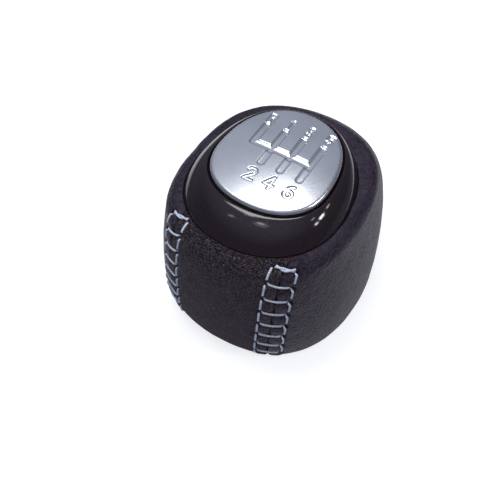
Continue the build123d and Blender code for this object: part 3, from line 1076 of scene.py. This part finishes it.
@dataclass
class GatePlate:
    """Domed metal plate with a rolled rim, the sunk gate pattern and its marks."""

    apex: float = PLATE_HIGH.z
    dome_radius: float = 130.0
    dome_y: float = 3.5
    rim_round: float = 1.0
    rim_rows: int = 12
    skirt: float = 43.9
    cells: int = 300
    column_pitch: float = 5.8
    column_steps: tuple[float, ...] = (-1.5, -0.5, 0.5, 1.5)
    top_y: float = 11.8
    neutral_y: float = 4.6
    bottom_y: float = -0.9
    slot_half: float = 1.12
    slot_depth: float = 0.46
    leg_share: float = 0.42
    leg_step: float = 0.6
    upper_half: float = 0.46
    lower_half: float = 0.56
    mark_depth: float = 0.28
    lower_depth: float = 0.36
    steep: float = 7.0
    steep_left: float = 3.0
    steep_front: float = 1.6
    upper_y: float = 15.3
    upper_tilt: float = 0.06
    upper_size: float = 2.9
    lower_y: float = -5.4
    lower_size: float = 3.7
    lower_shift: float = -0.4
    edge_ease: float = 0.03

    def columns(self) -> list[float]:
        """Sideways places of the gate's columns, from reverse to fifth."""
        return [self.column_pitch * step for step in self.column_steps]

    def gate(self) -> list[Array]:
        """Draws the gate: the neutral row and the columns.

        Returns:
            Centre lines as rows of corners.
        """
        x = self.columns()
        lines = [[(x[-1], self.neutral_y), (x[0], self.neutral_y), (x[0], self.top_y)]]
        lines += [[(place, self.bottom_y), (place, self.top_y)] for place in x[1:]]
        return [np.array(line) for line in lines]

    def marks(self) -> tuple[list[Array], list[Array]]:
        """Draws the marks.

        Returns:
            Strokes of the marks in front of the gate, and of those behind it.
        """
        x = self.columns()
        upper, lower = [], []
        for mark, place in zip((GateMark.REVERSE, GateMark.FIRST, GateMark.THIRD, GateMark.FIFTH), x):
            upper += mark.strokes(place, self.upper_y + self.upper_tilt * place, self.upper_size)
        for mark, place in zip((GateMark.SECOND, GateMark.FOURTH, GateMark.SIXTH), x[1:]):
            lower += mark.strokes(place + self.lower_shift, self.lower_y, self.lower_size)
        return upper, lower

    def sunk(self, beside: tuple[Array, Array], half: float, depth: float) -> Array:
        """Depths of a coined groove, whose front wall leans most and whose right wall is steep.

        Args:
            beside: How far points lie to the right of the groove's middle and to its front.
            half: Half width of the groove.
            depth: Its depth.

        Returns:
            A depth for each point, with a slightly eased edge.
        """
        distance = np.maximum(np.hypot(*beside), TINY)
        left, ahead = np.clip(-beside[0] / distance, 0, 1), np.clip(beside[1] / distance, 0, 1)
        power = self.steep + (self.steep_left - self.steep) * np.square(left)
        power += (self.steep_front - power) * np.square(ahead)
        bowl = 1 - np.minimum(distance / half, 2.0) ** power
        return depth * (bowl + np.sqrt(np.square(bowl) + self.edge_ease)) / 2

    def height(self, x: Array, y: Array, inset: Array) -> Array:
        """Heights of the plate's upper face.

        Args:
            x: Sideways places.
            y: Forward places.
            inset: Distances from the outline.

        Returns:
            Heights, with grooves that are shallower behind the neutral row, marks and the rolled rim.
        """
        away = np.square(x) + np.square(y - self.dome_y)
        dome = self.apex - self.dome_radius + np.sqrt(self.dome_radius**2 - away)
        upper, lower = self.marks()
        row = self.neutral_y - self.slot_half
        shallower = self.leg_share + (1 - self.leg_share) * smooth_step(row - self.leg_step, row, y)
        cuts = [
            self.sunk(from_strokes(x, y, self.gate()), self.slot_half, self.slot_depth) * shallower,
            self.sunk(from_strokes(x, y, upper), self.upper_half, self.mark_depth),
            self.sunk(from_strokes(x, y, lower), self.lower_half, self.lower_depth),
        ]
        left = np.clip(self.rim_round - inset, 0.0, self.rim_round)
        rolled = self.rim_round - np.sqrt(self.rim_round**2 - np.square(left))
        return dome - np.maximum.reduce(cuts) - rolled

    def build(self, finish: Material) -> None:
        """Builds the plate from a square grid drawn out to the egg outline, and dresses it.

        Args:
            finish: The plate's material.
        """
        mesh = bmesh.new()
        bmesh.ops.create_grid(mesh, x_segments=self.cells, y_segments=self.cells, size=1.0)
        flat = np.array([vert.co[:2] for vert in mesh.verts])
        across, along = flat[:, 0], flat[:, 1]
        wide = np.abs(across) > np.abs(along)
        inner = np.where(wide, across, along)
        safe = np.where(inner == 0, 1.0, inner)
        turn = np.where(wide, 0.5 * along / safe, 1.0 - 0.5 * across / safe) + np.where(inner < 0, 2.0, 0.0)
        rim_x, rim_y = PLATE_OUTLINE.at(turn)
        radius = np.hypot(rim_x, rim_y)
        rows_in = (1 - np.abs(inner)) * self.cells / 2
        angle = np.clip(rows_in / self.rim_rows, 0.0, 1.0) * math.pi / 2
        beyond = np.maximum(rows_in - self.rim_rows, 0.0) / (self.cells / 2 - self.rim_rows)
        inset = self.rim_round * (1 - np.cos(angle)) + (radius - self.rim_round) * beyond
        x, y = rim_x * (1 - inset / radius), rim_y * (1 - inset / radius)
        z = self.height(x, y, inset)
        for vert, place in zip(mesh.verts, np.stack([x, y, z], axis=1) * MM):
            vert.co = place
        border = [edge for edge in mesh.edges if edge.is_boundary]
        for vert in new_verts(bmesh.ops.extrude_edge_only(mesh, edges=border)):
            vert.co.z = self.skirt * MM
        bmesh.ops.contextual_create(mesh, geom=[edge for edge in mesh.edges if edge.is_boundary])
        bmesh.ops.recalc_face_normals(mesh, faces=mesh.faces)
        new_piece("gate_plate", mesh, finish, "shift_plate")


# Finishes


def per_metre(size: float) -> float:
    """Texture scale for features of a size in millimetres."""
    return 1.0 / (size * MM)


@dataclass(frozen=True)
class Finish:
    """A material by its name, with what all finishes share: two tones of colour and a relief."""

    name: str
    low: str
    high: str
    tones: Pair = (0.3, 0.7)
    bump: float = 0.4
    relief: float = 0.1

    def make(self) -> Material:
        """Makes the material with its nodes.

        Returns:
            The material.
        """
        material = bpy.data.materials.new(self.name)
        material.use_nodes = True
        tree = material.node_tree
        tree.nodes.clear()
        place = add_node(tree, "ShaderNodeTexCoord").outputs["Object"]
        colour, height, looks = self.grain(tree, place)
        looks["Base Color"] = colour
        if height is not None:
            bumps = {"Height": height, "Strength": self.bump, "Distance": self.relief * MM}
            looks["Normal"] = add_node(tree, "ShaderNodeBump", bumps)
        shader = add_node(tree, "ShaderNodeBsdfPrincipled", looks)
        add_node(tree, "ShaderNodeOutputMaterial", {"Surface": shader})
        return material

    def colour(self, tree: NodeTree, tone: Level) -> Node:
        """Adds a colour that goes from one tone to the other."""
        stops = zip(self.tones, (self.low, self.high))
        return add_node(tree, "ShaderNodeValToRGB", {"Fac": tone}, ramp=stops)

    def grain(self, tree: NodeTree, place: NodeSocket) -> Grain:
        """Adds the finish's own textures, for its colour, any relief and the shader's other inputs."""
        raise NotImplementedError


@dataclass(frozen=True)
class NappaLeather(Finish):
    """Pigmented nappa leather, stretched on: creases run round the body and gather at the ring, with painted
    shade in their hollows.
    """

    # Colours of the hollows and of the rises; the darker hollows are painted shade
    low: str = "#1b151e"
    high: str = "#3e3345"
    bump: float = 1.0
    relief: float = 0.5
    pebble: float = 0.6
    pebble_shares: Pair = (-0.55, -0.12)
    crease: float = 0.65
    crease_turn: float = math.radians(7.0)
    crease_draw: Triple = (0.3, 1.0, 1.0)
    pucker: float = 0.85
    pucker_draw: Triple = (1.0, 0.2, 1.0)
    pucker_levels: Pair = (0.17, 0.5)
    ledge_span: Pair = (2.0, 6.5)
    mottle: float = 6.0
    mottle_share: float = 0.4
    fold_span: Pair = (0.3, 0.7)
    roughness: Pair = (0.4, 0.54)

    def grain(self, tree: NodeTree, place: NodeSocket) -> Grain:
        """Pebbles, creases round the body, puckers across the ledge and a soft mottle, with painted shade
        where they sink.

        Args:
            tree: The material's nodes.
            place: Object coordinates, in metres.

        Returns:
            The colour, the height and the shader's other inputs.
        """
        lay = add_node(tree, "ShaderNodeUVMap", uv_map=LAY)
        level = add_node(tree, "ShaderNodeSeparateXYZ", {"Vector": lay}).outputs["Y"]
        edges = [edge * MM for edge in self.ledge_span]
        ledge = add_node(tree, "ShaderNodeMapRange", {"Value": level, FROM: edges, TO: (1.0, 0.0)})
        cells = {"Vector": lay, "Scale": per_metre(self.pebble)}
        pebbles = add_node(tree, "ShaderNodeTexVoronoi", cells, feature="SMOOTH_F1")
        drawn = {"Vector": lay, "Rotation": (0.0, 0.0, self.crease_turn), "Scale": self.crease_draw}
        along = {"Vector": add_node(tree, "ShaderNodeMapping", drawn), "Scale": per_metre(self.crease)}
        creases = add_node(tree, "ShaderNodeTexNoise", along | {"Detail": 3.0})
        drawn = {"Vector": lay, "Scale": self.pucker_draw}
        across = {"Vector": add_node(tree, "ShaderNodeMapping", drawn), "Scale": per_metre(self.pucker)}
        puckers = add_node(tree, "ShaderNodeTexNoise", across)
        calm = add_node(tree, "ShaderNodeMapRange", {"Value": puckers, TO: self.pucker_levels})
        layers = {"Factor": ledge, MIX_LEVELS: (creases, calm)}
        folds = add_node(tree, "ShaderNodeMix", layers, data_type="FLOAT")
        share = add_node(tree, "ShaderNodeMapRange", {"Value": ledge, TO: self.pebble_shares})
        # Painted shade: the colour follows this height, so creases, puckers and pebble hollows come out
        # darker; the mottle added below is the leather's own uneven tone
        height = add_node(tree, "ShaderNodeMath", {0: pebbles, 1: share, 2: folds}, operation="MULTIPLY_ADD")
        clouds = {"Vector": place, "Scale": per_metre(self.mottle), "Detail": 3.0}
        mix = {0: add_node(tree, "ShaderNodeTexNoise", clouds), 1: self.mottle_share, 2: height}
        tone = add_node(tree, "ShaderNodeMath", mix, operation="MULTIPLY_ADD")
        gloss = {"Value": folds, FROM: self.fold_span, TO: self.roughness}
        looks = {"Roughness": add_node(tree, "ShaderNodeMapRange", gloss), "Specular IOR Level": 0.16}
        return self.colour(tree, tone), height, looks


@dataclass(frozen=True)
class MicrofibreSuede(Finish):
    """Brushed microfibre suede: a matt nap whose lighter fibre tips make a fine speckle."""

    low: str = "#0b0709"
    high: str = "#5b5058"
    lint: str = "#a5a3a7"
    tones: Pair = (0.44, 0.7)
    bump: float = 0.9
    relief: float = 0.3
    nap: float = 0.34
    patch: float = 5.0
    # Shares of the brushed patches down the side, whose first one also paints shade on the ledge, and the
    # distances from the ring over which that painted shade fades
    patch_and_ledge_shade_shares: Pair = (-0.04, 0.15)
    ledge_shade_span: Pair = (3.0, 11.0)
    fleck: float = 0.9
    bare_share: float = 0.88
    fleck_edge: Pair = (0.25, 0.1)
    fleck_levels: Pair = (0.0, 0.5)

    def grain(self, tree: NodeTree, place: NodeSocket) -> Grain:
        """Nap speckle, brushed patches, sparse lint and painted shade that darkens the ledge round the ring.

        Args:
            tree: The material's nodes.
            place: Object coordinates, in metres.

        Returns:
            The colour, the height and the shader's other inputs.
        """
        lay = add_node(tree, "ShaderNodeUVMap", uv_map=LAY)
        level = add_node(tree, "ShaderNodeSeparateXYZ", {"Vector": lay}).outputs["Y"]
        # Painted shade: the brushed patches' share drops below zero near the ring, so the ledge that faces
        # up comes out darker
        edges = [edge * MM for edge in self.ledge_shade_span]
        share = add_node(tree, "ShaderNodeMapRange", {"Value": level, FROM: edges, TO: self.patch_and_ledge_shade_shares})
        fibres = {"Vector": place, "Scale": per_metre(self.nap), "Roughness": 0.6}
        nap = add_node(tree, "ShaderNodeTexNoise", fibres)
        strokes = {"Vector": place, "Scale": per_metre(self.patch), "Detail": 3.0}
        patch = add_node(tree, "ShaderNodeTexNoise", strokes)
        tone = add_node(tree, "ShaderNodeMath", {0: patch, 1: share, 2: nap}, operation="MULTIPLY_ADD")
        flecks = add_node(tree, "ShaderNodeTexVoronoi", {"Vector": place, "Scale": per_metre(self.fleck)})
        chance = add_node(tree, "ShaderNodeSeparateColor", {"Color": flecks.outputs["Color"]})
        chosen = add_node(tree, "ShaderNodeMath", {0: chance, 1: self.bare_share}, operation="GREATER_THAN")
        sizes = {"Value": flecks, FROM: self.fleck_edge, TO: self.fleck_levels}
        small = add_node(tree, "ShaderNodeMapRange", sizes)
        spot = add_node(tree, "ShaderNodeMath", {0: chosen, 1: small}, operation="MULTIPLY")
        layers = {"Factor": spot, MIX_COLOURS: (self.colour(tree, tone), linear(self.lint))}
        looks = {"Roughness": 0.95, "Specular IOR Level": 0.15, "Sheen Weight": 0.08, "Sheen Roughness": 0.5}
        return add_node(tree, "ShaderNodeMix", layers, data_type="RGBA"), nap, looks


@dataclass(frozen=True)
class PolyesterThread(Finish):
    """Bonded polyester thread, twisted: pale and a little silky, with painted shade in the hollows between
    fibres.
    """

    # Colours of the hollows, painted shade, and of the crests
    low: str = "#acb6ca"
    high: str = "#eef3ff"
    tones: Pair = (0.3, 0.68)
    bump: float = 0.5
    relief: float = 0.08
    fibre: float = 0.25

    def grain(self, tree: NodeTree, place: NodeSocket) -> Grain:
        """Fibres, drawn coarser than the real ones so that they show.

        Args:
            tree: The material's nodes.
            place: Object coordinates, in metres.

        Returns:
            The colour, the height and the shader's other inputs.
        """
        strands = {"Vector": place, "Scale": per_metre(self.fibre), "Detail": 3.0, "Roughness": 0.6}
        fibres = add_node(tree, "ShaderNodeTexNoise", strands)
        # Painted shade: the colour follows the fibre height and is darker in the hollows
        return self.colour(tree, fibres), fibres, {"Roughness": 0.6, "Sheen Weight": 0.2}


@dataclass(frozen=True)
class SatinPlating(Finish):
    """Satin chrome on zinc, bead blasted before plating: a grey mirror whose reflections are soft."""

    low: str = "#c3c5c9"
    high: str = "#cdcfd3"
    bump: float = 0.05
    relief: float = 0.01
    cloud: float = 7.0
    blast: float = 0.12
    grit_span: Pair = (0.3, 0.7)
    roughness: Pair = (0.22, 0.27)

    def grain(self, tree: NodeTree, place: NodeSocket) -> Grain:
        """Soft clouds and the blasted micro texture, drawn coarser than the real one so that it shows.

        Args:
            tree: The material's nodes.
            place: Object coordinates, in metres.

        Returns:
            The colour, the height and the shader's other inputs.
        """
        dents = {"Vector": place, "Scale": per_metre(self.blast), "Detail": 3.0, "Roughness": 0.6}
        grit = add_node(tree, "ShaderNodeTexNoise", dents)
        cloud = add_node(tree, "ShaderNodeTexNoise", {"Vector": place, "Scale": per_metre(self.cloud)})
        gloss = {"Value": grit, FROM: self.grit_span, TO: self.roughness}
        looks = {"Metallic": 1.0, "Roughness": add_node(tree, "ShaderNodeMapRange", gloss)}
        return self.colour(tree, cloud), grit, looks


@dataclass(frozen=True)
class PianoGloss(Finish):
    """High-gloss moulded ABS, dark brown-black: sharp reflections, a trace of mould ripple and fine dust."""

    low: str = "#20151b"
    high: str = "#37303a"
    tones: Pair = (0.0, 1.0)
    bump: float = 0.25
    relief: float = 0.3
    ripple: float = 11.0
    speck: float = 1.1
    speck_edge: Pair = (0.16, 0.05)
    roughness: Pair = (0.09, 0.4)

    def grain(self, tree: NodeTree, place: NodeSocket) -> Grain:
        """Mould ripple in the normal and dust in colour and roughness.

        Args:
            tree: The material's nodes.
            place: Object coordinates, in metres.

        Returns:
            The colour, the height and the shader's other inputs.
        """
        waves = {"Vector": place, "Scale": per_metre(self.ripple), "Detail": 1.0}
        ripple = add_node(tree, "ShaderNodeTexNoise", waves)
        specks = add_node(tree, "ShaderNodeTexVoronoi", {"Vector": place, "Scale": per_metre(self.speck)})
        dust = add_node(tree, "ShaderNodeMapRange", {"Value": specks, FROM: self.speck_edge})
        gloss = add_node(tree, "ShaderNodeMapRange", {"Value": dust, TO: self.roughness})
        return self.colour(tree, dust), ripple, {"Roughness": gloss, "IOR": 1.46}


@dataclass(frozen=True)
class MouldedPlastic(Finish):
    """Glass-filled nylon with a spark-eroded mould texture: dull, with a fine even stipple."""

    low: str = "#1b1b1d"
    high: str = "#2c2c2f"
    stipple: float = 0.5

    def grain(self, tree: NodeTree, place: NodeSocket) -> Grain:
        """Stipple in colour and bump.

        Args:
            tree: The material's nodes.
            place: Object coordinates, in metres.

        Returns:
            The colour, the height and the shader's other inputs.
        """
        pits = {"Vector": place, "Scale": per_metre(self.stipple), "Detail": 3.0}
        stipple = add_node(tree, "ShaderNodeTexNoise", pits)
        return self.colour(tree, stipple), stipple, {"Roughness": 0.62}


@dataclass(frozen=True)
class TurnedMetal(Finish):
    """Machined metal: fine rings round the lever axis left by the tool."""

    low: str = "#8d9094"
    high: str = "#b9bcc0"
    tones: Pair = (0.2, 0.8)
    bump: float = 0.2
    relief: float = 0.05
    feed: float = 0.4
    rings_per_unit: float = 20.0

    def grain(self, tree: NodeTree, place: NodeSocket) -> Grain:
        """Tool rings in tone and bump.

        Args:
            tree: The material's nodes.
            place: Object coordinates, in metres.

        Returns:
            The colour, the height and the shader's other inputs.
        """
        scale = per_metre(self.feed) / self.rings_per_unit
        marks = {"Vector": place, "Scale": scale, "Distortion": 1.0}
        waves = add_node(tree, "ShaderNodeTexWave", marks, wave_type="RINGS", rings_direction="Z")
        rings = waves.outputs["Fac"]
        return self.colour(tree, rings), rings, {"Metallic": 1.0, "Roughness": 0.34}


@dataclass(frozen=True)
class FoamTape(Finish):
    """Acrylic foam tape: matt and finely porous."""

    low: str = "#111112"
    high: str = "#29292b"
    tones: Pair = (0.1, 0.6)
    bump: float = 0.6
    cell: float = 0.35

    def grain(self, tree: NodeTree, place: NodeSocket) -> Grain:
        """Pores in colour and bump."""
        cells = add_node(tree, "ShaderNodeTexVoronoi", {"Vector": place, "Scale": per_metre(self.cell)})
        return self.colour(tree, cells), cells, {"Roughness": 0.9}


@dataclass(frozen=True)
class PaperOnTable(Finish):
    """Matt white paper on a grey table, in metres; the paper shows white and keeps the knob's shadow."""

    low: str = "#b9bbbf"
    high: str = "#8f9195"
    tones: Pair = (0.0, 1.0)
    middle: Triple = (-0.04, 0.03, 0.0)
    radius: float = 0.142
    fade: float = 0.012
    glow: float = 0.74

    def grain(self, tree: NodeTree, place: NodeSocket) -> Grain:
        """A sheet of paper that ends at the table, with a glow for what the camera and reflections see.

        Args:
            tree: The material's nodes.
            place: Object coordinates, in metres.

        Returns:
            The colour, no height and the shader's other inputs.
        """
        away = add_node(tree, "ShaderNodeVectorMath", {0: place, 1: self.middle}, operation="DISTANCE")
        edges = (self.radius, self.radius + self.fade)
        beyond = add_node(tree, "ShaderNodeMapRange", {"Value": away, FROM: edges})
        path = add_node(tree, "ShaderNodeLightPath").outputs
        seen = path["Is Camera Ray"]
        for kind in ("Is Glossy Ray", "Is Transmission Ray"):
            seen = add_node(tree, "ShaderNodeMath", {0: seen, 1: path[kind]}, operation="MAXIMUM")
        glow = add_node(tree, "ShaderNodeMapRange", {"Value": beyond, TO: (self.glow, 0.0)})
        looks = {
            "Roughness": 0.9,
            "Specular IOR Level": 0.1,
            "Emission Color": (1.0, 1.0, 1.0, 1.0),
            "Emission Strength": add_node(tree, "ShaderNodeMath", {0: seen, 1: glow}, operation="MULTIPLY"),
        }
        return self.colour(tree, beyond), None, looks


# Studio


def stand_off(
    name: str, data: ID, target: Vector, azimuth: float, elevation: float, distance: float
) -> Object:
    """Stands a lamp or a camera off a target and turns it there.

    Args:
        name: The object's name.
        data: Its lamp or camera.
        target: What it points at, in metres.
        azimuth: Degrees from the front of the car to its right.
        elevation: Degrees up.
        distance: Metres from the target.

    Returns:
        The linked object.
    """
    turn, lift = math.radians(azimuth), math.radians(elevation)
    out = Vector((math.sin(turn) * math.cos(lift), math.cos(turn) * math.cos(lift), math.sin(lift)))
    stand = bpy.data.objects.new(name, data)
    stand.location = target + out * distance
    stand.rotation_euler = out.to_track_quat("Z", "Y").to_euler()
    bpy.context.scene.collection.objects.link(stand)
    return stand


@dataclass(frozen=True)
class Softbox:
    """Rectangular lamp that points at the knob, with its angles in degrees and its sizes in metres."""

    name: str
    azimuth: float
    elevation: float
    distance: float
    width: float
    depth: float
    power: float

    def hang(self, target: Vector) -> None:
        """Hangs the lamp.

        Args:
            target: What it points at, in metres.
        """
        lamp = bpy.data.lights.new(self.name, "AREA")
        lamp.shape = "RECTANGLE"
        lamp.size = self.width
        lamp.size_y = self.depth
        lamp.energy = self.power
        stand_off(self.name, lamp, target, self.azimuth, self.elevation, self.distance)


@dataclass
class Studio:
    """White paper on a grey table, soft light from above and the camera that took the photograph's view.

    Each part of the sky has its levels and, as sines of the height, where they start and end.
    """

    azimuth: float = 148.8
    elevation: float = 52.2
    distance: float = 230.0
    target_height: float = 30.0
    pixels_per_distance: float = 3.6
    image_side: int = 500
    target_pixel: Pair = (272.2, 205.6)
    sensor: float = 36.0
    clip: Pair = (0.01, 50.0)
    floor_side: float = 6.0
    sky_colour: str = "#e1e9ff"
    front_sky: tuple[Pair, Pair] = ((0.42, 0.58), (0.1, 0.5))
    near_sky: tuple[Pair, Pair] = ((0.25, 0.84), (0.55, 0.95))
    near_span: Pair = (0.3, -0.4)
    dim_corner: Triple = (0.72, 0.6, 0.34)
    dim_span: Pair = (0.35, 0.95)
    dim_level: float = 0.5
    lamps: tuple[Softbox, ...] = (
        Softbox("main_softbox", -62.0, 74.4, 0.62, 0.36, 0.17, 1.8),
        Softbox("rear_lamp", -163.0, 71.0, 0.62, 0.05, 0.03, 0.03),
        Softbox("rear_halo", -168.0, 69.0, 0.6, 0.11, 0.07, 0.035),
        Softbox("right_window", 76.0, 35.0, 0.7, 0.09, 0.09, 0.75),
        Softbox("right_pane", 88.0, 33.0, 0.7, 0.05, 0.06, 0.2),
        Softbox("right_sill", 60.0, 36.0, 0.7, 0.06, 0.05, 0.11),
        Softbox("right_top", 85.0, 50.0, 0.7, 0.05, 0.05, 0.05),
        Softbox("left_lamp", -135.0, 57.0, 0.7, 0.02, 0.05, 0.018),
    )

    def camera(self, target: Vector) -> None:
        """Sets up the camera.

        Args:
            target: What it points at, in metres.
        """
        data = bpy.data.cameras.new("camera")
        data.sensor_width = self.sensor
        data.lens = self.pixels_per_distance * self.distance * self.sensor / self.image_side
        data.shift_x = (self.image_side / 2 - self.target_pixel[0]) / self.image_side
        data.shift_y = (self.target_pixel[1] - self.image_side / 2) / self.image_side
        data.clip_start, data.clip_end = self.clip
        bpy.context.scene.camera = stand_off(
            "camera", data, target, self.azimuth, self.elevation, self.distance * MM
        )

    def floor(self) -> None:
        """Lays the table with its paper."""
        mesh = bmesh.new()
        bmesh.ops.create_grid(mesh, x_segments=1, y_segments=1, size=self.floor_side / 2)
        data = bpy.data.meshes.new("floor")
        mesh.to_mesh(data)
        mesh.free()
        floor = bpy.data.objects.new("floor", data)
        bpy.context.scene.collection.objects.link(floor)
        floor.data.materials.append(PaperOnTable("matt_white_paper_on_grey_table").make())

    def sky(self) -> None:
        """Fills the room with light that falls off to the horizon and to a corner at the front right."""
        world = bpy.data.worlds.new("studio_room")
        bpy.context.scene.world = world
        world.use_nodes = True
        tree = world.node_tree
        tree.nodes.clear()
        ray = add_node(tree, "ShaderNodeTexCoord").outputs["Generated"]
        axes = add_node(tree, "ShaderNodeSeparateXYZ", {"Vector": ray}).outputs
        front, rear = (
            add_node(tree, "ShaderNodeMapRange", {"Value": axes["Z"], FROM: heights, TO: levels})
            for levels, heights in (self.front_sky, self.near_sky)
        )
        near = add_node(tree, "ShaderNodeMapRange", {"Value": axes["Y"], FROM: self.near_span})
        layers = {"Factor": near, MIX_LEVELS: (front, rear)}
        level = add_node(tree, "ShaderNodeMix", layers, data_type="FLOAT")
        aside = add_node(tree, "ShaderNodeVectorMath", {0: ray, 1: self.dim_corner}, operation="DOT_PRODUCT")
        dimmed = add_node(
            tree, "ShaderNodeMapRange", {"Value": aside, FROM: self.dim_span, TO: (1.0, self.dim_level)},
        )
        strength = add_node(tree, "ShaderNodeMath", {0: level, 1: dimmed}, operation="MULTIPLY")
        room = add_node(
            tree, "ShaderNodeBackground", {"Color": linear(self.sky_colour), "Strength": strength},
        )
        add_node(tree, "ShaderNodeOutputWorld", {"Surface": room})

    def build(self) -> None:
        """Sets the stage, the lamps, the camera and the plain view transform."""
        self.floor()
        self.sky()
        target = Vector((0.0, 0.0, self.target_height * MM))
        for lamp in self.lamps:
            lamp.hang(target)
        self.camera(target)
        bpy.context.scene.view_settings.view_transform = "Standard"


def main() -> None:
    """Builds the knob's dress and its studio in order."""
    logging.basicConfig(level=logging.INFO, format="%(name)s %(message)s")
    leather = NappaLeather("nappa_leather_stretched").make()
    suede = MicrofibreSuede("microfibre_suede_brushed").make()
    thread = PolyesterThread("polyester_thread_twisted").make()
    plating = SatinPlating("satin_chrome_blasted").make()
    gloss = PianoGloss("abs_moulded_high_gloss").make()
    plastic = MouldedPlastic("nylon_moulded_stippled").make()
    turned = TurnedMetal("aluminium_turned").make()
    steel = TurnedMetal("steel_zinc_plated", "#5d5f63", "#85888d").make()
    tape = FoamTape("foam_tape_acrylic").make()

    form = GripForm()
    right = LacedSeam(form)
    left = LacedSeam(form, Side.LEFT, pitch=5.15, top_lead=-2.2)
    GripSkin(form, right, left).build(leather, suede)
    for seam in (right, left):
        seam.build(thread)
    GlossRing().build(gloss)
    GatePlate().build(plating)

    kept = {
        "grip_core": plastic,
        "base_plate": plastic,
        "lever_sleeve": turned,
        "base_screws": steel,
        "plate_adhesive_pad": tape,
    }
    for node, finish in kept.items():
        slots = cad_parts[node].data.materials
        slots.clear()
        slots.append(finish)
        LOG.info("%s: dressed as %s", node, finish.name)

    Studio().build()


if __name__ == "__main__":
    main()
